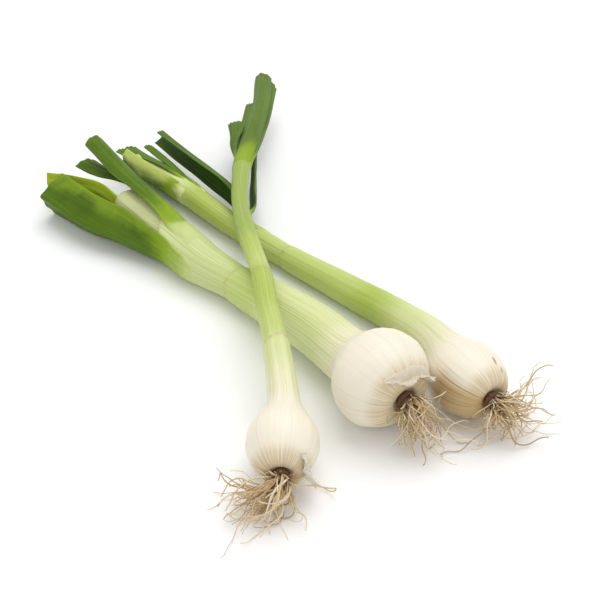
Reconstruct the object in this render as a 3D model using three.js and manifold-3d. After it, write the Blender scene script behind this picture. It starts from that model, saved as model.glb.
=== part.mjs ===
// A bunch of three spring onions lying on a table, one of them across the other two.
// Millimetres, +Z up. The bulbs lie towards -Y and the cut leaves towards +Y.
//
// Each onion is a bulb whose outer sheath runs on as the lower stem, one or more younger
// sheaths that stand in its mouth, folded leaves that clasp the shoot and end in a straight
// cut, and a tuft of roots on a basal plate that sits in a dimple of the bulb.

import * as THREE from "three";
import { mergeVertices } from "three/addons/utils/BufferGeometryUtils.js";
import Module from "manifold-3d";

const wasm = await Module();
wasm.setup();

// Driving dimensions shared by the three onions
const GAP = 0.3; // clearance between two pieces that touch
const SHEATH_WALL = 1.2; // wall of an outer sheath at its mouth
const SOCKET_DEPTH = 9; // how deep a younger sheath stands in the mouth of the older one
const MOUTH_SLANT = 2.4; // how far one lip of a mouth reaches past the middle
const MOUTH_HIGH_SIDE = 55; // the side where that lip is, in degrees from the side towards up
const LEAF_THICKNESS = 1.3;
const LEAF_EDGE_SHARE = 0.6; // thickness at a leaf's edge, as a share of that at its keel
const LEAF_TIP_THINNING = 0.15; // share of its thickness that a leaf loses towards its cut
const LEAF_KEEL_OUT = 1.12; // how far out a folded leaf's keel is, as a share of its radius
const LEAF_OPENS = [0.9, 0.4]; // a leaf opens from this share of its clasp, over this share of it all
const LEAF_ACROSS = 7; // points across a leaf, on each face
const LEAF_RINGS = 11;
const CLASP_CLEARANCE = 0.65; // between a clasping leaf's faceted inside and the round shoot
const PLATE_DEPTH = 2.6; // the basal plate's depth in the bulb's dimple
const PLATE_SIDES = 12;
const PLATE_RINGS = [
  // distance, and radius as a share of the plate's
  [PLATE_DEPTH, 0.85],
  [0.4, 1],
  [-1.4, 0.8],
  [-2.4, 0.4],
];
const DIMPLE_FLARE = 0.4; // how much wider the dimple is at its rim
const ROOT_RADIUS = 0.62;
const ROOT_TIP_RADIUS = 0.4;
const ROOT_SIDES = 3;
const ROOT_STEPS = 9;
const ROOT_FIELD = 0.7; // share of the plate's radius that roots grow from
const ROOT_FOOT = 0.6; // how far outside the plate's middle a root starts
const ROOT_LENGTHS = [0.8, 0.3]; // shortest share of a way's length, and how much may be added
const ROOT_PULL = 0.42; // how strongly a root turns to its own way at each step
const ROOT_WANDER = 0.34; // how far it strays from it
const ROOT_CLEARANCE = 2; // between the roots and the bulb
const ROOT_LIFT = [0.25, 2]; // a root's least height over the table, and how much may be added
const GOLDEN_ANGLE = Math.PI * (3 - Math.sqrt(5)); // spreads the roots evenly on the plate
const SKIN_THICKNESS = 0.7;
const SKIN_STEPS = 6;
const FLOOR_REACH = 600; // size of the block that trims what dips below the table

const UP = new THREE.Vector3(0, 0, 1);
const degrees = THREE.MathUtils.degToRad;

const finish = (color, roughness) =>
  new THREE.MeshStandardMaterial({ color, roughness, metalness: 0 });

const MATERIALS = {
  bulb: finish("#f1ead9", 0.42),
  stem: finish("#cbdc86", 0.45),
  leaf: finish("#5c8a2e", 0.5),
  root: finish("#c9ab7c", 0.85),
  skin: finish("#ddd2c0", 0.7),
};

// Shapes

// A repeatable stream of numbers from 0 to 1.
function seededDraw(seed) {
  let state = seed;
  return () => {
    state = (state + 0x6d2b79f5) | 0;
    let mixed = Math.imul(state ^ (state >>> 15), 1 | state);
    mixed = (mixed + Math.imul(mixed ^ (mixed >>> 7), 61 | mixed)) ^ mixed;
    return ((mixed ^ (mixed >>> 14)) >>> 0) / 4294967296;
  };
}

// A smooth curve through [distance, value] pairs, level beyond both ends.
function smoothThrough(pairs) {
  const slope = (i) => {
    const before = pairs[Math.max(i - 1, 0)];
    const after = pairs[Math.min(i + 1, pairs.length - 1)];
    return (after[1] - before[1]) / (after[0] - before[0]);
  };
  return (distance) => {
    if (distance <= pairs[0][0]) return pairs[0][1];
    const next = pairs.findIndex((pair) => pair[0] > distance);
    if (next < 0) return pairs[pairs.length - 1][1];
    const [from, low] = pairs[next - 1];
    const [to, high] = pairs[next];
    const span = to - from;
    const t = (distance - from) / span;
    const rise = 3 * t ** 2 - 2 * t ** 3;
    const leaving = (t ** 3 - 2 * t ** 2 + t) * span * slope(next - 1);
    const arriving = (t ** 3 - t ** 2) * span * slope(next);
    return low + (high - low) * rise + leaving + arriving;
  };
}

// The line that an onion or a leaf follows, with its cross directions at any distance.
// It runs straight on past either end.
function lineThrough(points) {
  const places = points.map((point) =>
    point.isVector3 ? point : new THREE.Vector3(...point),
  );
  const curve = new THREE.CatmullRomCurve3(places, false, "centripetal");
  const length = curve.getLength();
  const at = (distance) => {
    const share = THREE.MathUtils.clamp(distance / length, 0, 1);
    const along = curve.getTangentAt(share);
    const centre = curve.getPointAt(share);
    centre.addScaledVector(along, distance - share * length);
    const side = new THREE.Vector3().crossVectors(along, UP).normalize();
    const lift = new THREE.Vector3().crossVectors(side, along);
    return { centre, along, side, lift };
  };
  return { length, at };
}

// A point of a cross section: out in the direction of an angle, from the side towards up.
function outFrom(frame, angle, radius) {
  return frame.centre
    .clone()
    .addScaledVector(frame.side, radius * Math.cos(angle))
    .addScaledVector(frame.lift, radius * Math.sin(angle));
}

// A closed skin over rings of points. Each ring has the same number of points, and both
// ends are closed by strips between the point k and the k-th from the end.
function skinOver(rings) {
  const around = rings[0].length;
  const half = around / 2;
  const positions = rings.flat().flatMap((point) => point.toArray());
  const index = [];
  for (let i = 0; i + 1 < rings.length; i += 1) {
    for (let j = 0; j < around; j += 1) {
      const next = (j + 1) % around;
      const a = i * around + j;
      const b = i * around + next;
      const c = a + around;
      const d = b + around;
      // The two faces of a blade are split alike, so that they never cross.
      if (j < half) index.push(a, c, d, a, d, b);
      else index.push(a, c, b, c, d, b);
    }
  }
  const last = (rings.length - 1) * around;
  for (let k = 0; k + 1 < half; k += 1) {
    const opposite = around - 1 - k;
    index.push(k, opposite - 1, opposite);
    index.push(last + k, last + opposite, last + opposite - 1);
    if (k + 1 === opposite - 1) continue;
    index.push(k, k + 1, opposite - 1);
    index.push(last + k, last + opposite - 1, last + k + 1);
  }
  const geometry = new THREE.BufferGeometry();
  geometry.setAttribute("position", new THREE.Float32BufferAttribute(positions, 3));
  geometry.setIndex(index);
  return geometry;
}

function toSolid(geometry) {
  const bare = geometry.clone();
  bare.deleteAttribute("normal");
  bare.deleteAttribute("uv");
  const merged = mergeVertices(bare, 1e-4);
  return new wasm.Manifold(
    new wasm.Mesh({
      numProp: 3,
      vertProperties: merged.attributes.position.array,
      triVerts: new Uint32Array(merged.index.array),
    }),
  );
}

function toGeometry(solid) {
  const mesh = solid.getMesh();
  const geometry = new THREE.BufferGeometry();
  geometry.setAttribute("position", new THREE.BufferAttribute(mesh.vertProperties, 3));
  geometry.setIndex(new THREE.BufferAttribute(mesh.triVerts, 1));
  return geometry;
}

const underTheTable = toSolid(
  new THREE.BoxGeometry(FLOOR_REACH, FLOOR_REACH, FLOOR_REACH).translate(
    0,
    0,
    -FLOOR_REACH / 2,
  ),
);

function namedMesh(name, material, geometry) {
  const mesh = new THREE.Mesh(geometry, material);
  mesh.name = name;
  return mesh;
}

// The part of a piece above the table, with a flat spot where it rests.
function restingMesh(name, material, geometry) {
  const trimmed = toSolid(geometry).subtract(underTheTable);
  return namedMesh(name, material, toGeometry(trimmed));
}

// Pieces of an onion

// A round ring of the onion's body. Oval stretches it across and upright.
function bodyRing(line, distance, radius, sides, oval = [1, 1], slant = 0) {
  const ring = [];
  for (let j = 0; j < sides; j += 1) {
    const angle = (2 * Math.PI * (j + 0.5)) / sides;
    const frame = line.at(distance + slant * Math.cos(angle - degrees(MOUTH_HIGH_SIDE)));
    ring.push(
      frame.centre
        .clone()
        .addScaledVector(frame.side, radius * oval[0] * Math.cos(angle))
        .addScaledVector(frame.lift, radius * oval[1] * Math.sin(angle)),
    );
  }
  return ring;
}

// The rings of a mouth: over the rim, and down to the floor of the socket inside it.
function socketRings(line, mouth, radius, sides) {
  const inside = radius - SHEATH_WALL;
  return [
    bodyRing(line, mouth, inside, sides, [1, 1], MOUTH_SLANT),
    bodyRing(line, mouth - SOCKET_DEPTH, inside, sides),
  ];
}

// The bulb, with the sheath that grows from it up to its mouth.
function bulbWithSheath(onion) {
  const { line, sides, bulb, mouth } = onion;
  const radius = smoothThrough(bulb.profile);
  const oval = smoothThrough(bulb.ovalness);
  const plate = bulb.plateRadius + GAP;
  const rings = [
    bodyRing(line, PLATE_DEPTH + GAP, plate, sides),
    bodyRing(line, bulb.rim, plate + DIMPLE_FLARE, sides),
  ];
  for (const distance of bulb.stations) {
    const stretch = [1 / oval(distance), oval(distance)];
    const slant = distance === mouth ? MOUTH_SLANT : 0;
    rings.push(bodyRing(line, distance, radius(distance), sides, stretch, slant));
  }
  rings.push(...socketRings(line, mouth, radius(mouth), sides));
  return restingMesh(`${onion.name}_bulb`, MATERIALS.bulb, skinOver(rings));
}

// A younger sheath that stands in the mouth of an older one. It ends in a mouth of its
// own, or in the bare shoot inside the leaves.
function youngerSheath(onion, sheath) {
  const { line, sides } = onion;
  const radius = smoothThrough(sheath.profile);
  const plug = sheath.socketRadius - SHEATH_WALL - GAP;
  const rings = [
    bodyRing(line, sheath.from - SOCKET_DEPTH + GAP, plug, sides),
    bodyRing(line, sheath.from + MOUTH_SLANT, plug, sides),
  ];
  for (const distance of sheath.stations) {
    const ends = distance === sheath.mouth;
    const slant = ends ? MOUTH_SLANT : 0;
    rings.push(bodyRing(line, distance, radius(distance), sides, [1, 1], slant));
  }
  if (sheath.mouth) {
    rings.push(...socketRings(line, sheath.mouth, radius(sheath.mouth), sides));
  }
  return restingMesh(sheath.name, MATERIALS.stem, skinOver(rings));
}

// The middle line of a leaf's cross section, from edge to edge: an arc round the shoot at
// its base, and a fold with a keel further out. The first number is across, the second out.
function leafSection(radius, spread, fold) {
  const section = [];
  for (let k = 0; k < LEAF_ACROSS; k += 1) {
    const share = (2 * k) / (LEAF_ACROSS - 1) - 1;
    const arc = [radius * Math.sin(spread * share), radius * Math.cos(spread * share)];
    const edge = [radius * Math.sin(spread), radius * Math.cos(spread)];
    const keel = radius * LEAF_KEEL_OUT;
    const folded = [edge[0] * share, keel + (edge[1] - keel) * Math.abs(share)];
    section.push([
      THREE.MathUtils.lerp(arc[0], folded[0], fold),
      THREE.MathUtils.lerp(arc[1], folded[1], fold),
    ]);
  }
  return section;
}

function leafRing(frame, section, back, thickness) {
  const outer = [];
  const inner = [];
  section.forEach(([across, out], k) => {
    const before = section[Math.max(k - 1, 0)];
    const after = section[Math.min(k + 1, section.length - 1)];
    const run = Math.hypot(after[0] - before[0], after[1] - before[1]);
    const normal = [-(after[1] - before[1]) / run, (after[0] - before[0]) / run];
    const share = Math.abs((2 * k) / (section.length - 1) - 1);
    const half = (thickness / 2) * (1 - (1 - LEAF_EDGE_SHARE) * share ** 2);
    const place = (sign) => {
      const x = across + sign * half * normal[0];
      const y = out + sign * half * normal[1];
      const turned = back - Math.atan2(x, y);
      return outFrom(frame, turned, Math.hypot(x, y));
    };
    outer.push(place(1));
    inner.push(place(-1));
  });
  return [...outer, ...inner.reverse()].reverse();
}

// A leaf that clasps the shoot at its base and runs out to a straight cut. Its path is
// given from where it parts from the shoot.
function leafBlade(onion, leaf) {
  const clasp = [leaf.from, leaf.from + leaf.clasp / 2, leaf.from + leaf.clasp];
  const onShoot = clasp.map((distance) => onion.line.at(distance).centre);
  const line = lineThrough([...onShoot, ...leaf.path]);
  const shoot = leaf.shootRadius + CLASP_CLEARANCE + LEAF_THICKNESS / 2;
  const held = leaf.clasp / line.length;
  const [opensFrom, opensOver] = LEAF_OPENS;
  const rings = [];
  for (let i = 0; i <= LEAF_RINGS; i += 1) {
    const share = i / LEAF_RINGS;
    const free = THREE.MathUtils.smoothstep(share, held * opensFrom, held + opensOver);
    const radius = THREE.MathUtils.lerp(shoot, leaf.radius, free);
    const spread = THREE.MathUtils.lerp(leaf.hold, leaf.spread, free);
    const turned = THREE.MathUtils.smoothstep(share, 0, 1);
    const back = THREE.MathUtils.lerp(leaf.back[0], leaf.back[1], turned);
    const section = leafSection(radius, degrees(spread), leaf.fold * free);
    const thickness = LEAF_THICKNESS * (1 - LEAF_TIP_THINNING * share);
    rings.push(
      leafRing(line.at(share * line.length), section, degrees(back), thickness),
    );
  }
  return restingMesh(leaf.name, MATERIALS.leaf, skinOver(rings));
}

// One root: a thin tapering strand along its steps.
function rootStrand(steps) {
  const curve = new THREE.CatmullRomCurve3(steps, false, "centripetal");
  const frames = curve.computeFrenetFrames(ROOT_STEPS, false);
  const rings = frames.tangents.map((_, i) => {
    const share = i / ROOT_STEPS;
    const radius = THREE.MathUtils.lerp(ROOT_RADIUS, ROOT_TIP_RADIUS, share);
    const centre = curve.getPointAt(share);
    const ring = [];
    for (let j = 0; j < ROOT_SIDES; j += 1) {
      const angle = (2 * Math.PI * j) / ROOT_SIDES;
      const point = centre.clone();
      point.addScaledVector(frames.normals[i], -radius * Math.cos(angle));
      point.addScaledVector(frames.binormals[i], radius * Math.sin(angle));
      ring.push(point);
    }
    return ring;
  });
  return toSolid(skinOver(rings));
}

// The way a root takes: out of the plate, over in an arch, and down to the table or out in
// the air, always clear of the bulb.
function rootSteps(start, heading, way, bulb, draw) {
  const steps = [start.clone()];
  const [shortest, spare] = ROOT_LENGTHS;
  const [leastLift, spareLift] = ROOT_LIFT;
  const step = (way.length * (shortest + spare * draw())) / ROOT_STEPS;
  const towards = new THREE.Vector3(...way.towards).normalize();
  const place = start.clone();
  const going = heading.clone();
  for (let i = 0; i < ROOT_STEPS; i += 1) {
    going.addScaledVector(towards, ROOT_PULL);
    going.x += (draw() - 0.5) * ROOT_WANDER;
    going.y += (draw() - 0.5) * ROOT_WANDER;
    going.z += (draw() - 0.5) * ROOT_WANDER;
    going.normalize();
    place.addScaledVector(going, step);
    const away = place.clone().sub(bulb.centre);
    const clear = bulb.reach + ROOT_CLEARANCE;
    if (away.length() < clear) {
      place.copy(bulb.centre).addScaledVector(away.normalize(), clear);
    }
    place.z = Math.max(place.z, ROOT_RADIUS + leastLift + spareLift * draw());
    steps.push(place.clone());
  }
  return steps;
}

// The basal plate, domed like a button, with its roots fused to it.
function rootTuft(onion) {
  const { line, roots } = onion;
  const plateRadius = onion.bulb.plateRadius;
  const plateRing = (distance, share) =>
    bodyRing(line, distance, plateRadius * share, PLATE_SIDES).reverse();
  const plate = toSolid(skinOver(PLATE_RINGS.map(([at, share]) => plateRing(at, share))));
  const draw = seededDraw(roots.seed);
  const frame = line.at(0);
  const outwards = frame.along.clone().negate();
  const bulb = { centre: line.at(onion.bulb.middle).centre, reach: onion.bulb.reach };
  const strands = [];
  for (let i = 0; i < roots.count; i += 1) {
    const angle = i * GOLDEN_ANGLE;
    const ringShare = Math.sqrt((i + 0.5) / roots.count);
    const radial = outFrom(frame, angle, 1).sub(frame.centre);
    const start = outFrom(frame, angle, plateRadius * ROOT_FIELD * ringShare);
    start.addScaledVector(outwards, ROOT_FOOT);
    const heading = outwards.clone().addScaledVector(radial, ringShare);
    const way = roots.ways[i % roots.ways.length];
    strands.push(rootStrand(rootSteps(start, heading, way, bulb, draw)));
  }
  const tuft = wasm.Manifold.union([plate, ...strands]);
  return namedMesh(`${onion.name}_roots`, MATERIALS.root, toGeometry(tuft));
}

// The three onions. Distances run along the onion from its root plate, in millimetres.

const large = {
  name: "large",
  sides: 18,
  line: lineThrough([
    [50, -103.5, 24.8],
    [40, -89.5, 24.4],
    [24, -65.5, 18.6],
    [8, -42, 15],
    [-13.5, -19.5, 13],
    [-35, 1, 11.4],
    [-53, 17, 11.5],
    [-72, 38, 13.2],
    [-99, 67, 16.5],
    [-111, 80, 17.5],
  ]),
  mouth: 133,
  bulb: {
    middle: 19,
    reach: 21,
    plateRadius: 5.6,
    rim: 1.2,
    profile: [
      [0, 7.4],
      [0.8, 10.8],
      [2.6, 14.6],
      [6, 18.9],
      [11, 22.6],
      [17, 24.7],
      [23, 24.5],
      [29, 22.4],
      [34, 18.8],
      [38, 16.2],
      [43, 14.7],
      [50, 14.2],
      [60, 14],
      [82, 13.5],
      [105, 12.5],
      [133, 10.6],
    ],
    ovalness: [
      [0, 1],
      [18, 1.05],
      [45, 1],
    ],
    stations: [0, 0.8, 2.6, 6, 11, 17, 23, 29, 34, 38, 43, 50, 82, 105, 121, 133],
  },
  sheaths: [
    {
      name: "large_stem",
      from: 133,
      socketRadius: 10.6,
      profile: [
        [138, 9.9],
        [157, 11.4],
        [176, 13],
        [178, 13],
        [178.8, 11],
        [190, 9.8],
        [204, 8.9],
        [204.8, 7.1],
        [216, 6.6],
        [226, 5.6],
      ],
      stations: [138, 147, 157, 167, 178, 178.8, 190, 204, 204.8, 216, 226],
    },
  ],
  leaves: [
    {
      name: "large_leaf_outer",
      from: 179.4,
      clasp: 4,
      shootRadius: 11,
      hold: 66,
      spread: 84,
      fold: 0.8,
      radius: 12.2,
      back: [205, 158],
      path: [
        [-92, 53, 13.3],
        [-116, 67.5, 12.6],
        [-142, 82, 11.8],
      ],
    },
    {
      name: "large_leaf_raised",
      from: 179.4,
      clasp: 10,
      shootRadius: 11,
      hold: 54,
      spread: 115,
      fold: 0.3,
      radius: 5.2,
      back: [36, 60],
      path: [
        [-90, 66, 25.8],
        [-105, 86, 28.6],
        [-126, 114, 29],
      ],
    },
    {
      name: "large_leaf_bright",
      from: 205.6,
      clasp: 7,
      shootRadius: 7.1,
      hold: 70,
      spread: 78,
      fold: 0.6,
      radius: 8.4,
      back: [235, 262],
      path: [
        [-111, 82, 15.5],
        [-126, 92.5, 15],
        [-147, 107, 14],
      ],
    },
    {
      name: "large_leaf_back",
      from: 205.6,
      clasp: 9,
      shootRadius: 7.1,
      hold: 28,
      spread: 70,
      fold: 0.5,
      radius: 6,
      back: [-24, 40],
      path: [
        [-103, 83, 13.5],
        [-113, 95, 12.5],
        [-125, 108, 12],
      ],
    },
  ],
  skins: [
    {
      name: "large_loose_skin",
      distances: [1.2, 8.8],
      middle: 62,
      half: 50,
      taper: 0.25,
      swell: 1.06,
      standOff: 1.6,
    },
  ],
  roots: {
    seed: 11,
    count: 26,
    ways: [
      { towards: [0.1, -0.2, -1], length: 26 },
      { towards: [0.8, -0.2, -0.9], length: 31 },
      { towards: [-0.4, -0.2, -1], length: 23 },
      { towards: [1, -0.35, -0.3], length: 38 },
      { towards: [0.3, 0.1, -1], length: 24 },
      { towards: [0, -0.5, -0.6], length: 20 },
      { towards: [0.5, -0.3, 0.1], length: 15 },
    ],
  },
};

const middle = {
  name: "middle",
  sides: 16,
  line: lineThrough([
    [92, -96.5, 18.8],
    [80, -78, 17.6],
    [67, -50, 16],
    [52, -29, 12.2],
    [27, -3, 9],
    [-6, 27, 8],
    [-35, 53, 8.8],
    [-56, 75, 10],
    [-72, 93, 10.5],
    [-95, 114, 11],
    [-113, 131, 11.5],
  ]),
  mouth: 160,
  bulb: {
    middle: 21,
    reach: 18,
    plateRadius: 4.8,
    rim: 1,
    profile: [
      [0, 6.4],
      [0.8, 8.6],
      [3, 11.6],
      [7, 14.9],
      [12, 17.3],
      [18, 18.5],
      [24, 18.3],
      [30, 16.6],
      [35, 14.2],
      [40, 12.2],
      [46, 10.8],
      [54, 10],
      [64, 9.5],
      [112, 8.6],
      [142, 7.7],
      [160, 7.1],
    ],
    ovalness: [[0, 1]],
    stations: [0, 0.8, 3, 7, 12, 18, 24, 30, 35, 40, 46, 54, 64, 88, 112, 142, 160],
  },
  sheaths: [
    {
      name: "middle_stem",
      from: 160,
      socketRadius: 7.1,
      profile: [
        [165, 6],
        [172, 6.2],
        [179, 7.3],
        [181, 7.3],
        [181.8, 5.5],
        [195, 5.8],
        [226, 7],
        [249, 7.4],
        [250, 7.4],
        [250.8, 5.6],
        [280, 5.2],
        [298, 4.8],
      ],
      stations: [165, 172, 181, 181.8, 195, 211, 226, 238, 250, 250.8, 265, 280, 298],
    },
  ],
  leaves: [
    {
      name: "middle_leaf_side",
      from: 182.4,
      clasp: 12,
      shootRadius: 5.8,
      hold: 75,
      spread: 80,
      fold: 0.6,
      radius: 8.4,
      back: [5, 10],
      path: [
        [-42, 75.5, 12.5],
        [-58, 96.5, 13],
        [-77, 121, 12.5],
        [-94, 144, 12],
      ],
    },
    {
      name: "middle_leaf_front",
      from: 251.4,
      clasp: 30,
      shootRadius: 5.6,
      hold: 72,
      spread: 76,
      fold: 0.1,
      radius: 6.6,
      back: [206, 200],
      path: [
        [-101, 120, 11.2],
        [-112, 130, 11.5],
      ],
    },
    {
      name: "middle_leaf_short",
      from: 251.4,
      clasp: 8,
      shootRadius: 5.6,
      hold: 26,
      spread: 34,
      fold: 0.2,
      radius: 6,
      back: [18, 70],
      path: [
        [-87.5, 120.5, 8.5],
        [-98, 133, 8],
      ],
    },
    {
      name: "middle_leaf_top",
      from: 251.4,
      clasp: 26,
      shootRadius: 5.6,
      hold: 22,
      spread: 26,
      fold: 0.2,
      radius: 6.6,
      back: [72, 66],
      path: [
        [-98, 119, 11.5],
        [-112, 134.5, 12],
      ],
    },
    {
      name: "middle_leaf_under",
      from: 251.4,
      clasp: 26,
      shootRadius: 5.6,
      hold: 26,
      spread: 34,
      fold: 0.3,
      radius: 7.6,
      back: [-42, -40],
      path: [
        [-98.5, 121, 10.8],
        [-115, 137.5, 10.8],
      ],
    },
  ],
  skins: [],
  roots: {
    seed: 29,
    count: 26,
    ways: [
      { towards: [0.9, 1.2, 0.1], length: 38 },
      { towards: [0, -0.4, -1], length: 23 },
      { towards: [1, 0.6, 0], length: 36 },
      { towards: [0.8, 0, -1], length: 26 },
      { towards: [-0.3, -0.5, -1], length: 24 },
      { towards: [1, 0.4, -0.5], length: 33 },
      { towards: [0.6, 1.3, -0.2], length: 30 },
    ],
  },
};

const crossing = {
  name: "crossing",
  sides: 14,
  line: lineThrough([
    [-8.5, -141, 15],
    [-8, -122, 16.8],
    [-7.5, -100, 20],
    [-9.5, -82, 24],
    [-13, -60, 28.6],
    [-16.5, -42, 31],
    [-20, -17, 31.9],
    [-26, 9, 29.8],
    [-32, 38, 27],
    [-35, 68, 25.5],
    [-34, 99, 25],
    [-31, 118, 24.6],
  ]),
  mouth: 76,
  bulb: {
    middle: 18,
    reach: 15.5,
    plateRadius: 4.3,
    rim: 0.9,
    profile: [
      [0, 5.8],
      [1, 8.2],
      [3.5, 11],
      [7.5, 14],
      [12.5, 16.2],
      [18, 17.1],
      [24, 16.4],
      [29, 14.2],
      [33.5, 11.4],
      [38, 9.1],
      [43, 7.9],
      [50, 7.4],
      [62, 7],
      [76, 6.6],
    ],
    ovalness: [[0, 1]],
    stations: [0, 1, 3.5, 7.5, 12.5, 18, 24, 29, 33.5, 38, 43, 50, 67, 76],
  },
  sheaths: [
    {
      name: "crossing_stem_lower",
      from: 76,
      mouth: 125,
      socketRadius: 6.6,
      profile: [
        [80, 6],
        [103, 5.6],
        [125, 5.5],
      ],
      stations: [80, 91, 103, 114, 125],
    },
    {
      name: "crossing_stem_middle",
      from: 125,
      mouth: 183,
      socketRadius: 5.5,
      profile: [
        [129, 5],
        [156, 5.2],
        [183, 5.3],
      ],
      stations: [129, 142, 156, 170, 183],
    },
    {
      name: "crossing_stem_upper",
      from: 183,
      socketRadius: 5.3,
      profile: [
        [187, 4.9],
        [214, 4.7],
        [240, 5.1],
        [241, 5.1],
        [241.6, 3.2],
        [256, 2.6],
      ],
      stations: [187, 200, 214, 228, 241, 241.6, 248, 256],
    },
  ],
  leaves: [
    {
      name: "crossing_leaf_main",
      from: 242.2,
      clasp: 6,
      shootRadius: 3.2,
      hold: 80,
      spread: 92,
      fold: 0.25,
      radius: 5.6,
      back: [95, 104],
      path: [
        [-29, 133, 25],
        [-25, 168, 24],
        [-24.5, 200, 23],
      ],
    },
    {
      name: "crossing_leaf_right",
      from: 242.2,
      clasp: 5,
      shootRadius: 3.2,
      hold: 34,
      spread: 75,
      fold: 0.5,
      radius: 4,
      back: [-25, -14],
      path: [
        [-27, 137, 19.5],
        [-22, 167, 17.5],
        [-18.5, 197, 17],
      ],
    },
    {
      name: "crossing_leaf_left",
      from: 242.2,
      clasp: 5,
      shootRadius: 3.2,
      hold: 24,
      spread: 60,
      fold: 0.5,
      radius: 4,
      back: [206, 194],
      path: [
        [-35.5, 136, 18.2],
        [-32, 170, 16],
      ],
    },
    {
      name: "crossing_leaf_drooping",
      from: 187.6,
      clasp: 5,
      shootRadius: 4.9,
      hold: 34,
      spread: 60,
      fold: 0.5,
      radius: 4.4,
      back: [-34, -20],
      path: [
        [-28.5, 64, 18.8],
        [-28.5, 92, 13.5],
        [-30, 127, 12],
      ],
    },
    {
      name: "crossing_leaf_short",
      from: 242.2,
      clasp: 5,
      shootRadius: 3.2,
      hold: 26,
      spread: 60,
      fold: 0.4,
      radius: 5.5,
      back: [262, 262],
      path: [
        [-37, 137, 14.5],
        [-41, 165, 12.5],
      ],
    },
  ],
  skins: [],
  roots: {
    seed: 47,
    count: 26,
    ways: [
      { towards: [-1, 0.3, -0.3], length: 38 },
      { towards: [-0.9, -0.25, -0.5], length: 47 },
      { towards: [-0.1, -0.4, -0.9], length: 22 },
      { towards: [-1, 0.6, 0], length: 33 },
      { towards: [-0.5, -0.5, -0.6], length: 31 },
      { towards: [0.6, 0.2, -0.9], length: 20 },
      { towards: [-1, 0, -0.6], length: 40 },
    ],
  },
};

// The papery skin that has torn loose beside the large bulb's roots. It follows the bulb
// at its low end and stands off it at its torn end.
function looseSkin(onion, skin) {
  const { line, bulb } = onion;
  const radius = smoothThrough(bulb.profile);
  const [from, to] = skin.distances;
  const rings = [];
  for (let i = 0; i <= SKIN_STEPS; i += 1) {
    const share = i / SKIN_STEPS;
    const distance = THREE.MathUtils.lerp(from, to, share);
    const frame = line.at(distance);
    const near = radius(distance) * skin.swell + GAP + skin.standOff * share ** 2;
    const arc = (out, k) => {
      const across = (2 * k) / SKIN_STEPS - 1;
      const torn = 1 - skin.taper * share;
      return outFrom(frame, degrees(skin.middle + skin.half * torn * across), out);
    };
    const outer = [];
    const inner = [];
    for (let k = 0; k <= SKIN_STEPS; k += 1) {
      outer.push(arc(near + SKIN_THICKNESS, k));
      inner.push(arc(near, k));
    }
    rings.push([...outer.reverse(), ...inner].reverse());
  }
  return namedMesh(skin.name, MATERIALS.skin, skinOver(rings));
}

const bunch = new THREE.Group();
for (const onion of [large, middle, crossing]) {
  const plant = new THREE.Group();
  plant.add(bulbWithSheath(onion));
  plant.add(rootTuft(onion));
  for (const sheath of onion.sheaths) plant.add(youngerSheath(onion, sheath));
  for (const leaf of onion.leaves) plant.add(leafBlade(onion, leaf));
  for (const skin of onion.skins) plant.add(looseSkin(onion, skin));
  bunch.add(plant);
}

// The origin is under the middle of the bunch, on the table.
const middleOfBox = new THREE.Box3().setFromObject(bunch).getCenter(new THREE.Vector3());
bunch.position.set(-middleOfBox.x, -middleOfBox.y, 0);

export default bunch;
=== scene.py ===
# %% [markdown]
# # A bunch of spring onions
# Three young plants lie loose on a white table, and the smallest lies across the other two.
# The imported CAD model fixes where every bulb, sheath, leaf and tuft of roots is. This lesson
# grows the living surface of each one in the same place.

import math
import random

import bpy
import numpy as np
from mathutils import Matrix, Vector, noise


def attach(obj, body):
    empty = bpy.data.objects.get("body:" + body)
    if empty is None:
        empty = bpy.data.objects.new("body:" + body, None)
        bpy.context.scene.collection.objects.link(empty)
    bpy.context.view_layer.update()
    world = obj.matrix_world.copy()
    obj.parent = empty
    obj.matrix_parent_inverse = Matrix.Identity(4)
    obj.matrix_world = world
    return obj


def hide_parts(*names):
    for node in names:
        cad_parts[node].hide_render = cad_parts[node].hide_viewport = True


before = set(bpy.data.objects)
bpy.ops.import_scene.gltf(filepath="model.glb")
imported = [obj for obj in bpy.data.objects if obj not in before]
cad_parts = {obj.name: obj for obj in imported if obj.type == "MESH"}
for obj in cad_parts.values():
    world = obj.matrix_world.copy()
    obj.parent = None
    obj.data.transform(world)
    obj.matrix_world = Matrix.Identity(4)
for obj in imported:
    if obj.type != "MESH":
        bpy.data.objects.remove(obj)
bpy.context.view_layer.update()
bpy.ops.object.select_all(action="DESELECT")
MM = 0.001
UP = np.array([0.0, 0.0, 1.0])

# %% [markdown]
# ## The line that a plant follows
# A real onion is never straight, and everything on it, such as its veins and ribs, follows
# one bent line from the root plate to the cut end. A modeller could bend a straight piece
# with a curve modifier, but that twists where the curve turns. Here a line knows its own
# side and lift directions, so a piece is modelled straight, and then bent in code.
# The points are the ones that the CAD model was drawn through, in millimetres.

# %% A line that bends straight pieces
CENTRING = np.array([12.758, -17.510, 0.0])  # puts the middle of the bunch at the origin


def smooth_places(points, steps=40):
    """Places close together on the smooth curve through some points."""
    ends = 2 * points[0] - points[1], 2 * points[-1] - points[-2]
    points = np.vstack([ends[0], points, ends[1]])
    places = []
    for before, start, end, after in zip(points, points[1:], points[2:], points[3:]):
        a, b, c = (np.linalg.norm(gap) ** 0.5 for gap in (start - before, end - start, after - end))
        leaving = ((start - before) / a - (end - before) / (a + b) + (end - start) / b) * b
        arriving = ((end - start) / b - (after - start) / (b + c) + (after - end) / c) * b
        t = np.linspace(0, 1, steps, endpoint=False)[:, None]
        hop = start + (end - start) * (3 * t**2 - 2 * t**3)
        places.append(hop + leaving * (t**3 - 2 * t**2 + t) + arriving * (t**3 - t**2))
    return np.concatenate([*places, points[-2:-1]])


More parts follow.
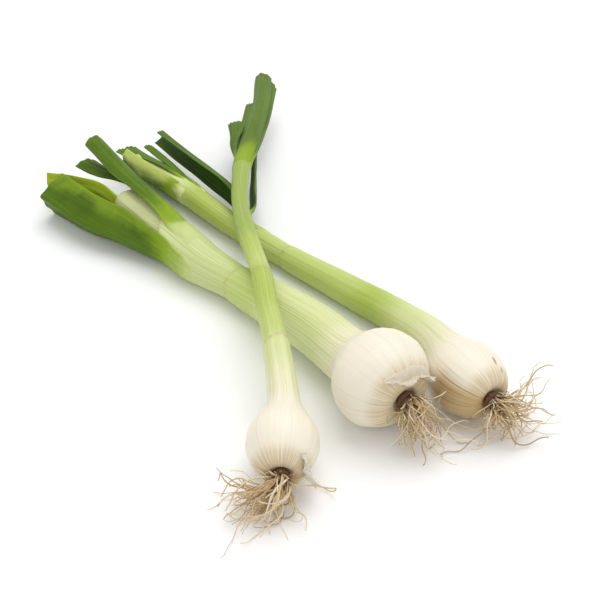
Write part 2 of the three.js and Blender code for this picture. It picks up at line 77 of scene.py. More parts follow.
class Line:
    """A smooth line in metres. It knows its cross directions, and runs on past both ends."""

    def __init__(self, points):
        places = smooth_places(np.array(points, float))
        marks = np.concatenate([[0], np.cumsum(np.linalg.norm(np.diff(places, axis=0), axis=1))])
        self.length = marks[-1]
        self.marks = np.linspace(0, self.length, 400)
        self.places = self.look_up(self.marks, marks, places)
        self.along = np.gradient(self.places, axis=0)

    @staticmethod
    def look_up(distances, marks, rows):
        return np.stack([np.interp(distances, marks, rows[:, k]) for k in range(3)], 1)

    def at(self, distances):
        """The centres and the along, side and lift directions at some distances."""
        inside = np.clip(distances, 0, self.length)
        along = self.look_up(inside, self.marks, self.along)
        along /= np.linalg.norm(along, axis=1)[:, None]
        centre = self.look_up(inside, self.marks, self.places)
        centre = centre + along * (distances - inside)[:, None]
        side = np.cross(along, UP)
        side /= np.linalg.norm(side, axis=1)[:, None]
        return centre, along, side, np.cross(side, along)

    def bend(self, straight):
        """Lays a straight piece, whose third number is the distance, along the line."""
        centre, _, side, lift = self.at(straight[:, 2])
        return centre + side * straight[:, :1] + lift * straight[:, 1:2]


def plant_line(*points):
    return Line((np.array(points) + CENTRING) * MM)


LINES = {
    "large": plant_line(
        (50, -103.5, 24.8), (40, -89.5, 24.4), (24, -65.5, 18.6), (8, -42, 15),
        (-13.5, -19.5, 13), (-35, 1, 11.4), (-53, 17, 11.5), (-72, 38, 13.2),
        (-99, 67, 16.5), (-111, 80, 17.5),
    ),
    "middle": plant_line(
        (92, -96.5, 18.8), (80, -78, 17.6), (67, -50, 16), (52, -29, 12.2), (27, -3, 9),
        (-6, 27, 8), (-35, 53, 8.8), (-56, 75, 10), (-72, 93, 10.5), (-95, 114, 11),
        (-113, 131, 11.5),
    ),
    "crossing": plant_line(
        (-8.5, -141, 15), (-8, -122, 16.8), (-7.5, -100, 20), (-9.5, -82, 24),
        (-13, -60, 28.6), (-16.5, -42, 31), (-20, -17, 31.9), (-26, 9, 29.8),
        (-32, 38, 27), (-35, 68, 25.5), (-34, 99, 25), (-31, 118, 24.6),
    ),
}
for plant, line in LINES.items():
    print(plant, "onion:", round(line.length / MM), "mm from root plate to shoot end")

# %% [markdown]
# ## Bulbs and sheaths
# An onion's bulb and its lower stem are one sheath, a tube that swells at the bottom and
# ends in a thin mouth, where the next, younger tube comes out. The form is round, so it
# could be turned with the Spin tool. It is grown ring by ring from a circle instead, because
# that is how the plant makes it, and each ring stays easy to find for the ribs and the mouth.
# Only a few radii are measured, and a smooth curve gives the rest.

# %% Grow a straight sheath, ring by ring
def smooth_through(pairs):
    """A function that gives a smooth value at any distances, from (distance, value) pairs."""
    marks, values = (np.array(row, float) for row in zip(*pairs))
    gaps = np.diff(marks)
    slopes = np.diff(values) / gaps
    tangents = np.concatenate([slopes[:1], (slopes[:-1] + slopes[1:]) / 2, slopes[-1:]])
    tangents[1:-1] *= slopes[:-1] * slopes[1:] > 0

    def value(distances):
        distances = np.clip(distances, marks[0], marks[-1])
        k = np.clip(np.searchsorted(marks, distances, side="right") - 1, 0, len(gaps) - 1)
        t = (distances - marks[k]) / gaps[k]
        rise = values[k] + (values[k + 1] - values[k]) * (3 * t**2 - 2 * t**3)
        leaving = tangents[k] * gaps[k] * (t**3 - 2 * t**2 + t)
        return rise + leaving + tangents[k + 1] * gaps[k] * (t**3 - t**2)

    return value


def grow(name, rings, sides):
    """A closed straight piece, extruded from a circle through (distance, radius) rings."""
    bpy.ops.object.select_all(action="DESELECT")
    (distance, radius), *rest = rings
    bpy.ops.mesh.primitive_circle_add(
        vertices=sides, radius=radius * MM, fill_type="NGON", location=(0, 0, distance * MM)
    )
    piece = bpy.context.object
    piece.name = piece.data.name = name
    bpy.ops.object.transform_apply(location=True)
    bpy.ops.object.mode_set(mode="EDIT")
    for further, wider in rest:
        step = (0, 0, (further - distance) * MM)
        bpy.ops.mesh.extrude_region_move(TRANSFORM_OT_translate={"value": step})
        scale = wider / radius
        bpy.ops.transform.resize(value=(scale, scale, 1), center_override=(0, 0, 0))
        distance, radius = further, wider
    bpy.ops.mesh.select_all(action="SELECT")
    bpy.ops.mesh.normals_make_consistent(inside=False)
    bpy.ops.object.mode_set(mode="OBJECT")
    return piece


def finish_modifier(piece, kind, **settings):
    """Adds a modifier, sets it and applies it."""
    modifier = piece.modifiers.new(kind.title(), kind)
    for setting, value in settings.items():
        setattr(modifier, setting, value)
    bpy.context.view_layer.objects.active = piece
    bpy.ops.object.modifier_apply(modifier=modifier.name)


def smooth_skin(piece, levels=1):
    finish_modifier(piece, "SUBSURF", levels=levels, render_levels=levels)
    piece.data.shade_smooth()


def points_of(piece):
    points = np.empty(len(piece.data.vertices) * 3)
    piece.data.vertices.foreach_get("co", points)
    return points.reshape(-1, 3)


def move_points(piece, points):
    piece.data.vertices.foreach_set("co", points.ravel())
    piece.data.update()


def remember(piece, name, values):
    """Keeps a number or a vector for each point, which a material can read by its name."""
    kind = "FLOAT" if values.ndim == 1 else "FLOAT_VECTOR"
    attribute = piece.data.attributes.new(name, kind, "POINT")
    attribute.data.foreach_set("value" if values.ndim == 1 else "vector", values.ravel())


# %% Ribs, lumps and mouths
def noise_at(places, seed):
    """Soft noise between about -1 and 1 at each place."""
    drift = Vector((seed * 7.3, seed * 3.1, seed * 5.7))
    return np.array([noise.noise(Vector(place) + drift) for place in places])


def unevenness(angle, distance, radius, seed):
    """How much a living skin stands out from a smooth one: wide lumps and fine ribs."""
    turn = np.stack([np.cos(angle), np.sin(angle)], 1)
    lumps = noise_at(np.column_stack([turn * 0.9, distance / MM / 28]), seed)
    hollows = noise_at(np.column_stack([turn * 2.2, distance / MM / 16]), seed + 20)
    ribs = noise_at(np.column_stack([turn * 9, distance / MM / 70]), seed + 40)
    rib_height = 0.11 * MM * (radius / (8 * MM)) ** 0.5
    return radius * (0.022 * lumps + 0.008 * hollows) + rib_height * ribs


def shape_mouth(angle, distance, mouth, towards, reach, seed, notch=None):
    """How far a rim's points move along: a slanted lip, a wavy edge and perhaps a notch."""
    ramp = np.clip((distance / MM - mouth + 16) / 16, 0, 1) ** 2
    turn = np.stack([np.cos(angle), np.sin(angle), angle * 0], 1)
    wave = 0.9 * noise_at(turn * 1.6, seed) + 0.35 * noise_at(turn * 7, seed + 5)
    move = reach * np.cos(angle - math.radians(towards)) + wave
    if notch:
        where, depth, width = notch
        off = np.degrees(np.angle(np.exp(1j * (angle - math.radians(where)))))
        move = move - depth * np.exp(-((off / width) ** 2))
    return move * ramp * MM


LOWEST = 0.02 * MM  # a resting piece touches the table here
BULB_END = 44  # beyond this many millimetres a sheath is smooth, and needs fewer rings


def lay_down(piece, line):
    """Bends a finished straight piece along its line, and keeps it on the table."""
    bent = line.bend(points_of(piece))
    bent[:, 2] = np.maximum(bent[:, 2], LOWEST)
    move_points(piece, bent)


def dress(piece, finish, slot, *nodes):
    """Gives a piece its material, and lets it stand for its CAD nodes."""
    piece.data.materials.clear()
    piece.data.materials.append(finish)
    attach(piece, "root")
    if nodes:
        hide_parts(*nodes)


def sheath(plant, name, profile, sides, seed, mouth=False, **mouth_form):
    """A bulb with its sheath, or a younger sheath that starts inside an older one."""
    radius = smooth_through(profile)
    first, last = profile[0][0], profile[-1][0]
    bulb = first == 0
    stations = list(np.arange(first, min(last, BULB_END), 1.5)) if bulb else []
    stations += list(np.arange(BULB_END if bulb else first, last - 3, 3.0)) + [last - 1.5, last]
    rings = [(place, float(radius(np.array([place]))[0])) for place in stations]
    if bulb:
        hollow = [(3.2, 0.3), (3, 0.6), (2.2, 0.86), (0.9, 0.93)]
        rings = [(place, rings[0][1] * share) for place, share in hollow] + rings[1:]
    end = rings[-1][1]
    if mouth:
        lip = [(0.15, 0.12), (0, 0.3), (-3, 0.5), (-9, 0.8)]
        rings += [(last + place, end - inwards) for place, inwards in lip]
    else:
        cut = [(0.1, 0.86), (-0.1, 0.55), (-0.2, 0.2)]
        rings += [(last + place, end * share) for place, share in cut]
    piece = grow(name, rings, sides)
    smooth_skin(piece)
    points = points_of(piece)
    angle, out = np.arctan2(points[:, 1], points[:, 0]), np.hypot(points[:, 0], points[:, 1])
    distance = points[:, 2].copy()
    remember(piece, "grain", np.column_stack([np.cos(angle), np.sin(angle), distance]))
    to_rim = np.abs(distance / MM - last)
    remember(piece, "rim", np.exp(-((to_rim / 1.1) ** 2)) if mouth else to_rim * 0)
    out += unevenness(angle, distance, out, seed)
    if mouth:
        distance += shape_mouth(angle, distance, last, seed=seed, **mouth_form)
    move_points(piece, np.column_stack([np.cos(angle) * out, np.sin(angle) * out, distance]))
    lay_down(piece, LINES[plant])
    print(name, "has", len(piece.data.polygons), "faces")
    return piece


# %% [markdown]
# ## The skin's colour
# Close up, the white skin of a young onion isn't one white. Beige and mauve veins run up
# from the root plate, it turns yellow-tan around the roots, and it greens slowly towards
# the leaves. All of this follows the plant, so the material reads an attribute called
# grain, which holds the direction round the stem and the distance along it from before the
# piece was bent. A texture on plain object coordinates would run straight through instead.

# %% Nodes for a living finish
class Finish:
    """A node material under construction. Each method adds a node and returns its output."""

    def __init__(self, name):
        self.material = bpy.data.materials.new(name)
        self.material.use_nodes = True
        self.tree = self.material.node_tree
        self.shader = self.tree.nodes["Principled BSDF"]

    def add(self, kind, inputs=(), **settings):
        added = self.tree.nodes.new(kind)
        for setting, value in settings.items():
            setattr(added, setting, value)
        for socket, value in inputs:
            self.set(added.inputs[socket], value)
        return added

    def set(self, socket, value):
        if isinstance(value, bpy.types.NodeSocket):
            self.tree.links.new(value, socket)
        else:
            socket.default_value = value

    def shade(self, **values):
        for socket, value in values.items():
            self.set(self.shader.inputs[socket.replace("_", " ")], value)

    def attribute(self, name, output="Vector"):
        return self.add("ShaderNodeAttribute", attribute_name=name).outputs[output]

    def parts(self, vector):
        return self.add("ShaderNodeSeparateXYZ", [(0, vector)]).outputs

    def stretched(self, vector, scale, move=(0, 0, 0)):
        inputs = [("Vector", vector), ("Scale", scale), ("Location", move)]
        return self.add("ShaderNodeMapping", inputs).outputs[0]

    def noise(self, vector, scale=1.0, detail=3.0, roughness=0.55):
        inputs = [("Vector", vector), ("Scale", scale), ("Detail", detail), ("Roughness", roughness)]
        return self.add("ShaderNodeTexNoise", inputs).outputs["Fac"]

    def maths(self, operation, *values, clamp=False):
        inputs = list(enumerate(values))
        return self.add("ShaderNodeMath", inputs, operation=operation, use_clamp=clamp).outputs[0]

    def times(self, one, other):
        return self.maths("MULTIPLY", one, other)

    def plus(self, one, other):
        return self.maths("ADD", one, other)

    def stray(self, noise, amount):
        """A noise around zero, which reaches about half the amount either way."""
        return self.times(self.maths("SUBTRACT", noise, 0.5), amount)

    def between(self, value, low, high, to_low=0.0, to_high=1.0):
        """Moves a value from one range to another, and holds it there."""
        inputs = list(enumerate([value, low, high, to_low, to_high]))
        return self.add("ShaderNodeMapRange", inputs, interpolation_type="SMOOTHSTEP").outputs[0]

    def ramp(self, value, *stops):
        """Colours at some places between 0 and 1."""
        ramp = self.add("ShaderNodeValToRGB", [(0, value)])
        ramp.color_ramp.interpolation = "EASE"
        elements = ramp.color_ramp.elements
        while len(elements) < len(stops):
            elements.new(1)
        for element, (place, colour) in zip(elements, stops):
            element.position = place
            element.color = (*colour, 1)
        return ramp.outputs["Color"]

    def mix(self, factor, one, other, blend="MIX"):
        mixer = self.add("ShaderNodeMix", data_type="RGBA", blend_type=blend)
        for socket, value in zip((0, 6, 7), (factor, one, other)):
            if isinstance(value, tuple):
                value = (*value, 1)
            self.set(mixer.inputs[socket], value)
        return mixer.outputs[2]

    def bump(self, height, strength, distance):
        inputs = [("Height", height), ("Strength", strength), ("Distance", distance)]
        return self.add("ShaderNodeBump", inputs).outputs[0]


# %% Skin colours, roughly from the roots up
TAN = (0.50, 0.35, 0.17)
WARM = (0.80, 0.70, 0.49)
WHITE = (0.85, 0.785, 0.65)
CREAM = (0.79, 0.76, 0.51)
PALE = (0.66, 0.71, 0.33)
SAGE = (0.56, 0.63, 0.26)
YELLOW_GREEN = (0.50, 0.59, 0.15)
GRASS = (0.41, 0.51, 0.07)
DEEP = (0.30, 0.41, 0.05)
CORE = (0.73, 0.78, 0.36)
MAUVE = (0.56, 0.42, 0.31)
GREEN_VEIN, PALE_VEIN = (0.30, 0.42, 0.09), (0.84, 0.84, 0.62)
OLD_SKIN, OLD_VEIN = (0.54, 0.38, 0.16), (0.36, 0.22, 0.09)
SPECK, DRY_RIM = (0.24, 0.13, 0.05), (0.46, 0.36, 0.17)


# %% The skin of bulbs and sheaths
def skin_finish(name, length, stops, seed=0.0, specks=(), stain=None):
    """Onion skin whose colours are stops along its length in millimetres."""
    finish = Finish(name)
    grain = finish.attribute("grain")
    to_side, to_top, distance = finish.parts(grain)
    wander = finish.noise(finish.stretched(grain, (2, 2, 30), (seed, 0, 0)), detail=2)
    streaks = finish.stretched(grain, (14, 14, 16), (seed, 3, 0))
    streaks = finish.noise(streaks, detail=4, roughness=0.6)
    veins = finish.stretched(grain, (30, 30, 9), (seed, 5, 0))
    veins = finish.noise(veins, detail=3, roughness=0.7)
    fine = finish.noise(finish.stretched(grain, (60, 60, 30), (seed, 7, 0)), detail=2)
    on_bulb = finish.between(distance, 26 * MM, 46 * MM, 1, 0)

    along = finish.plus(finish.maths("DIVIDE", distance, length * MM), finish.stray(wander, 0.05))
    colour = finish.ramp(along, *[(place / length, tint) for place, tint in stops])
    mauve = finish.times(finish.between(streaks, 0.5, 0.72, 0, 0.26), on_bulb)
    colour = finish.mix(mauve, colour, MAUVE)
    lines = finish.between(veins, 0.5, 0.66, 0, 0.5)
    colour = finish.mix(finish.times(lines, finish.maths("SUBTRACT", 1.0, on_bulb)), colour, GREEN_VEIN)
    colour = finish.mix(finish.between(veins, 0.48, 0.34, 0, 0.35), colour, PALE_VEIN)
    near_plate = finish.between(distance, 3 * MM, 9 * MM, 0.6, 0)
    colour = finish.mix(finish.times(near_plate, finish.between(streaks, 0.3, 0.6)), colour, TAN)
    if stain:
        way, end = math.radians(stain[0]), stain[1]
        facing = finish.plus(finish.times(to_side, math.cos(way)), finish.times(to_top, math.sin(way)))
        ragged = finish.plus(facing, finish.stray(streaks, 0.7))
        near = finish.between(distance, end * MM, (end - 9) * MM)
        old = finish.times(finish.between(ragged, 0.3, 0.65), near)
        colour = finish.mix(finish.times(old, 0.85), colour, OLD_SKIN)
        colour = finish.mix(finish.times(old, finish.between(veins, 0.5, 0.62)), colour, OLD_VEIN)
    for angle, place, size in specks:
        way = math.radians(angle)
        middle = (-math.cos(way), -math.sin(way), -place * 30 * MM)
        off = finish.stretched(grain, (1, 1, 30), middle)
        far = finish.add("ShaderNodeVectorMath", [(0, off)], operation="LENGTH")
        ragged = finish.plus(far.outputs["Value"], finish.stray(fine, 0.2))
        colour = finish.mix(finish.between(ragged, size, size * 0.6, 0, 0.7), colour, SPECK)
    dry = finish.times(finish.attribute("rim", "Fac"), finish.between(streaks, 0.4, 0.58, 0.1, 0.75))
    colour = finish.mix(dry, colour, DRY_RIM)

    finish.shade(Base_Color=colour, Roughness=finish.between(streaks, 0.3, 0.7, 0.36, 0.5))
    finish.shade(Subsurface_Weight=0.12, Subsurface_Radius=(1.0, 0.8, 0.5), Subsurface_Scale=1.5 * MM)
    height = finish.plus(finish.times(fine, 0.5), veins)
    height = finish.times(height, finish.maths("SUBTRACT", 1.2, on_bulb))
    finish.shade(Normal=finish.bump(height, 0.6, 0.18 * MM))
    return finish.material


# %% The skins of the three plants
large_skin = skin_finish(
    "large onion skin", 240,
    [(0, WARM), (9, WHITE), (34, WHITE), (44, CREAM), (62, PALE), (96, PALE), (118, YELLOW_GREEN),
     (150, SAGE), (172, SAGE), (210, CORE)],
)
middle_skin = skin_finish(
    "middle onion skin", 300,
    [(0, WARM), (9, WHITE), (30, WHITE), (44, CREAM), (66, PALE), (96, GRASS), (116, YELLOW_GREEN),
     (150, YELLOW_GREEN), (232, GRASS), (262, CORE), (286, CORE), (298, GRASS)],
    seed=4.0, specks=[(62, 9.5, 0.05), (50, 5.5, 0.045)], stain=(206, 26),
)
crossing_skin = skin_finish(
    "crossing onion skin", 260,
    [(0, WARM), (9, WHITE), (36, WHITE), (50, CREAM), (70, PALE), (86, YELLOW_GREEN), (106, GRASS),
     (124, GRASS), (132, YELLOW_GREEN), (154, GRASS), (168, DEEP), (236, DEEP)],
    seed=8.0, stain=(300, 9),
)

# %% The large onion's bulb and stem
LARGE_BULB = [
    (0, 7.4), (0.8, 10.8), (2.6, 14.6), (6, 18.9), (11, 22.6), (17, 24.7), (23, 24.5), (29, 22.4),
    (34, 18.8), (38, 16.2), (43, 14.7), (50, 14.2), (60, 14), (82, 13.5), (105, 12.5), (133, 10.6),
]
piece = sheath(
    "large", "large_bulb_skin", LARGE_BULB, 96, 1,
    mouth=True, towards=145, reach=2.4, notch=(228, 9, 16),
)
dress(piece, large_skin, "bulb", "large_bulb")
LARGE_STEM = [(125, 9.4), (133, 9.9), (138, 10.1), (157, 11.6), (172, 12.9), (187, 13)]
piece = sheath("large", "large_stem_skin", LARGE_STEM, 72, 2, mouth=True, towards=70, reach=9)
dress(piece, large_skin, "stem", "large_stem")
LARGE_CORE = [
    (150, 10.4), (160, 11.2), (172, 12.2), (182, 12), (192, 11), (206, 10.4), (218, 10.2), (229, 9.9),
]
piece = sheath("large", "large_core_skin", LARGE_CORE, 72, 12, mouth=True, towards=145, reach=2)
dress(piece, large_skin, "stem")

# %% The middle onion's bulb and stem
MIDDLE_BULB = [
    (0, 6.4), (0.8, 8.6), (3, 11.6), (7, 14.9), (12, 17.3), (18, 18.5), (24, 18.3), (30, 16.6),
    (35, 14.2), (40, 12.2), (46, 10.8), (54, 10), (64, 9.5), (112, 8.6), (142, 7.7), (160, 7.1),
]
piece = sheath("middle", "middle_bulb_skin", MIDDLE_BULB, 84, 3, mouth=True, towards=120, reach=2.4)
dress(piece, middle_skin, "bulb", "middle_bulb")
MIDDLE_STEM = [
    (152, 6.2), (160, 6.5), (172, 7), (181, 7.4), (184, 7.1), (195, 6.4), (226, 7), (249, 7.4),
    (252, 7.2), (262, 6.2), (280, 5.8), (294, 5.4),
]
piece = sheath("middle", "middle_stem_skin", MIDDLE_STEM, 56, 4)
dress(piece, middle_skin, "stem", "middle_stem")

# %% The crossing onion's bulb and stems
CROSSING_BULB = [
    (0, 5.8), (1, 8.2), (3.5, 11), (7.5, 14), (12.5, 16.2), (18, 17.1), (24, 16.4), (29, 14.2),
    (33.5, 11.4), (38, 9.1), (43, 7.9), (50, 7.4), (62, 7), (76, 6.6),
]
piece = sheath(
    "crossing", "crossing_bulb_skin", CROSSING_BULB, 84, 5, mouth=True, towards=60, reach=2.4,
)
dress(piece, crossing_skin, "bulb", "crossing_bulb")
CROSSING_STEMS = {
    "crossing_stem_lower": [(68, 5.8), (76, 6), (103, 5.7), (125, 5.6)],
    "crossing_stem_middle": [(117, 4.9), (125, 5), (156, 5.2), (183, 5.4)],
}
for seed, (node, profile) in enumerate(CROSSING_STEMS.items(), start=6):
    piece = sheath("crossing", f"{node}_skin", profile, 48, seed, mouth=True, towards=120, reach=2.2)
    dress(piece, crossing_skin, "stem", node)
CROSSING_TOP = [(175, 4.6), (183, 4.8), (214, 4.8), (238, 5.2), (243, 4.9), (249, 3.6), (256, 2.8)]
piece = sheath("crossing", "crossing_stem_upper_skin", CROSSING_TOP, 48, 8)
dress(piece, crossing_skin, "stem", "crossing_stem_upper")

# %% [markdown]
# ## Leaves
# A leaf is a strip that clasps the stem at its foot, and folds along its keel further out,
# until a knife has cut it straight across. It could be cut from the CAD blade, but that one
# is stiff and twice as thick. A flat grid is bent into the leaf instead: its two directions
# are the leaf's own, across and along, so the veins can follow them. Solidify then gives it
# the thickness of a real leaf.

# %% Bend a flat strip into a leaf
LEAF_THICKNESS = 0.7 * MM
FOOT = 7  # how far a leaf's foot lies on the sheath below it, in millimetres
RIBS = 4  # long ribs on a leaf


def ease(value, low, high):
    share = np.clip((value - low) / (high - low), 0, 1)
    return share * share * (3 - 2 * share)


def blend(one, other, share):
    return one + (other - one) * share


def leaf(
    plant, name, start, clasp, foot_radius, hold, spread, fold, radius, back, path, seed, ripple=0.4,
    slant=0.0, opens=0.0,
):
    """A leaf from its foot on the stem to its cut end. Angles are in degrees, the rest in mm."""
    bpy.ops.object.select_all(action="DESELECT")
    bpy.ops.mesh.primitive_grid_add(x_subdivisions=24, y_subdivisions=48, size=2)
    piece = bpy.context.object
    piece.name = piece.data.name = f"{name}_blade"
    flat = points_of(piece)
    across, share = flat[:, 0], (flat[:, 1] + 1) / 2
    marks = np.array([start - FOOT, start, start + clasp / 2, start + clasp]) * MM
    line = Line(np.vstack([LINES[plant].at(marks)[0], (np.array(path) + CENTRING) * MM]))
    reach = share * line.length / MM
    if callable(foot_radius):
        foot_radius = foot_radius(np.minimum(start - FOOT + reach, start + clasp)) + 0.35
    held = (clasp + FOOT) * MM / line.length
    free = ease(share, held * 0.9, held + 0.4)
    width = blend(foot_radius, radius, free) * MM
    half = np.radians(blend(hold, spread, ease(share, held * 0.9 + opens, held + 0.4 + opens)))
    keel = np.sqrt(across**2 + 0.005) - math.sqrt(0.005)
    arc = width * np.sin(half * across), width * np.cos(half * across)
    edge = width * np.sin(half), width * np.cos(half)
    folded = edge[0] * across, width * 1.12 + (edge[1] - width * 1.12) * keel
    x = blend(arc[0], folded[0], fold * free)
    y = blend(arc[1], folded[1], fold * free)
    waves = noise_at(np.column_stack([across * 1.3, share * 5, share * 0]), seed)
    edges = noise_at(np.column_stack([np.sign(across), share * 9, share * 0]), seed + 9)
    ribs = 0.8 * np.cos(RIBS * math.pi * across)
    y = y + ripple * (waves + ribs + 0.7 * edges * across**4) * free * MM
    turned = np.radians(blend(back[0], back[1], ease(share, 0, 1))) - np.arctan2(x, y)
    sunk_edges = ease(np.abs(across), 0.55, 1) * (1 - ease(reach, FOOT, FOOT + 16))
    sunk = np.maximum(1 - ease(reach, 0, FOOT), sunk_edges)
    out = np.hypot(x, y) - 0.9 * sunk * MM
    cut = noise_at(np.column_stack([across * 0.8, share * 0, share * 0]), seed + 3)
    distance = (reach + (0.9 * cut + slant * across) * share**8) * MM
    straight = np.column_stack([out * np.cos(turned), out * np.sin(turned), distance])
    remember(piece, "grain", np.column_stack([across, reach * MM, share * 0 + seed]))
    move_points(piece, line.bend(straight))
    finish_modifier(piece, "SOLIDIFY", thickness=LEAF_THICKNESS, offset=0, use_even_offset=True)
    inside = np.arange(len(piece.data.vertices)) >= len(flat)
    remember(piece, "inside", inside.astype(float))
    bpy.ops.object.mode_set(mode="EDIT")
    bpy.ops.mesh.select_all(action="SELECT")
    bpy.ops.mesh.normals_make_consistent(inside=False)
    bpy.ops.mesh.select_all(action="DESELECT")
    bpy.ops.mesh.edges_select_sharp(sharpness=math.radians(60))
    bpy.ops.transform.edge_crease(value=0.75)
    bpy.ops.object.mode_set(mode="OBJECT")
    smooth_skin(piece)
    points = points_of(piece)
    points[:, 2] = np.maximum(points[:, 2], LOWEST)
    move_points(piece, points)
    print(piece.name, "is", round(line.length / MM), "mm long")
    return piece


# %% [markdown]
# ## Leaf green
# A leaf has long parallel veins, a thin grey bloom of wax and the sheath's own pale colour at
# its foot, and its two sides aren't the same green. The strip kept its across and along
# positions as its grain, so streaks are only noise that is stretched along it. Solidify made
# the second side, and its points are marked, so that it can have a green of its own. On the
# middle side leaf and the crossing leaves, that inner green is painted shade in the hollow.

# %% A finish for leaves
BLOOM = (0.24, 0.33, 0.11)
FINE_VEIN = (0.42, 0.53, 0.09)


def leaf_finish(
    name, foot, yellow, outer, inner, turn, seed=0.0, pale_edge=None, pale_from=0.0,
):
    """Leaf green that has the stem's colour at the foot. Turn is where it greens, in mm."""
    finish = Finish(name)
    grain = finish.attribute("grain")
    across, along, _ = finish.parts(grain)
    inside = finish.attribute("inside", "Fac")
    wander = finish.noise(finish.stretched(grain, (1.2, 60, 1), (seed, 0, 0)), detail=3)
    veins = finish.stretched(grain, (13, 10, 1), (seed, 2, 0))
    veins = finish.noise(veins, detail=4, roughness=0.65)
    fine = finish.noise(finish.stretched(grain, (50, 24, 1), (seed, 5, 0)), detail=2)
    shifted = finish.plus(along, finish.stray(wander, 24 * MM))
    shifted = finish.plus(shifted, finish.stray(veins, 24 * MM))
    lighter, darker = (tuple(min(1, share * part) for part in outer) for share in (1.9, 0.5))
    # The inner side's green. Where it is darker than the outer green, it is painted shade in the leaf's
    # hollow.
    green = finish.mix(inside, outer, inner)
    green = finish.mix(finish.between(veins, 0.48, 0.72, 0, 0.55), green, lighter)
    green = finish.mix(finish.between(wander, 0.52, 0.3, 0, 0.3), green, darker)
    bloom = finish.between(finish.noise(grain, scale=9, detail=4), 0.5, 0.75, 0, 0.1)
    green = finish.mix(bloom, green, BLOOM)
    if pale_edge:
        ragged = finish.plus(across, finish.stray(wander, 1.0))
        edge = finish.between(ragged, pale_from, pale_from + 0.6, 0, 0.85)
        green = finish.mix(edge, green, pale_edge)
    start, end = turn[0] * MM, turn[1] * MM
    middle = (start + end) / 2
    colour = finish.mix(finish.between(shifted, start, middle), foot, yellow)
    colour = finish.mix(finish.between(shifted, middle, end), colour, green)
    colour = finish.mix(finish.between(fine, 0.5, 0.75, 0, 0.12), colour, FINE_VEIN)
    finish.shade(Base_Color=colour, Roughness=finish.between(veins, 0.3, 0.7, 0.38, 0.55))
    finish.shade(Subsurface_Weight=0.06, Subsurface_Radius=(0.5, 1.0, 0.2), Subsurface_Scale=0.8 * MM)
    finish.shade(Specular_IOR_Level=0.09)
    height = finish.plus(finish.times(fine, 0.35), veins)
    finish.shade(Normal=finish.bump(height, 0.7, 0.25 * MM))
    return finish.material


# %% The greens of the leaves
LEAF = (0.075, 0.145, 0.008)
# Painted shade: a very dark green for the hollow inner face of a leaf, as if shade lay in it.
INNER_SHADE_GREEN = (0.032, 0.078, 0.006)
MOSS = (0.11, 0.185, 0.03)
BRIGHT = (0.30, 0.41, 0.02)
LIME = (0.25, 0.37, 0.02)

outer_green = leaf_finish(
    "large outer leaf green", SAGE, LIME, LEAF, (0.15, 0.26, 0.03), (3, 44),
    pale_edge=(0.21, 0.32, 0.02), pale_from=0.4,
)
raised_green = leaf_finish(
    "large raised leaf green", SAGE, LIME, (0.09, 0.165, 0.012), MOSS, (8, 54), seed=2.0,
)
bright_green = leaf_finish(
    "large inner leaf green", CORE, BRIGHT, (0.33, 0.44, 0.02), (0.36, 0.46, 0.02), (0, 20), seed=3.0,
)
back_green = leaf_finish(
    "large back leaf green", CORE, LIME, LEAF, (0.09, 0.17, 0.015), (3, 26), seed=4.0,
)
# The side leaf's inner face has the painted shade green.
side_green = leaf_finish(
    "middle side leaf green", YELLOW_GREEN, LIME, (0.07, 0.145, 0.010), INNER_SHADE_GREEN, (6, 40), seed=6.0,
)
front_green = leaf_finish(
    "middle front leaf green", CORE, LIME, LEAF, LEAF, (0, 24), seed=7.0, pale_edge=(0.60, 0.68, 0.19),
)
middle_green = leaf_finish(
    "middle leaf green", CORE, LIME, (0.10, 0.18, 0.02), (0.12, 0.22, 0.03), (0, 22), seed=8.0,
)
# The crossing leaves' inner faces have the painted shade green.
crossing_green = leaf_finish("crossing leaf green", DEEP, LIME, MOSS, INNER_SHADE_GREEN, (-4, 30), seed=9.0)

# %% The large onion's leaves
LARGE_LEAVES = {
    "large_leaf_outer": (outer_green, dict(
        start=162, clasp=21, foot_radius=smooth_through(LARGE_STEM), hold=64, spread=88, fold=0.8,
        radius=13.2, back=(208, 162), path=[(-94, 50, 13), (-118, 63.5, 12.6), (-143, 85, 12.4)],
        slant=-1, ripple=0.7)),
    "large_leaf_raised": (raised_green, dict(
        start=174, clasp=14, foot_radius=smooth_through(LARGE_STEM), hold=29, spread=100, fold=0.1,
        radius=5.8, back=(84, 66), path=[(-93, 64, 27), (-108, 86, 28.6), (-125, 112, 28.6)],
        opens=0.15)),
    "large_leaf_bright": (bright_green, dict(
        start=205.6, clasp=14, foot_radius=9.4, hold=70, spread=86, fold=0.3, radius=9.6,
        back=(205, 215), path=[(-112, 82, 17), (-128, 91, 16), (-148, 101, 13)])),
    "large_leaf_back": (back_green, dict(
        start=205.6, clasp=9, foot_radius=9.4, hold=30, spread=60, fold=0.1, radius=9, back=(0, 74),
        path=[(-105, 82, 13.5), (-118, 94.5, 12), (-131, 109, 10)], slant=-1.5)),
}
for seed, (node, (finish, form)) in enumerate(LARGE_LEAVES.items(), start=50):
    dress(leaf("large", node, seed=seed, **form), finish, "leaf", node)

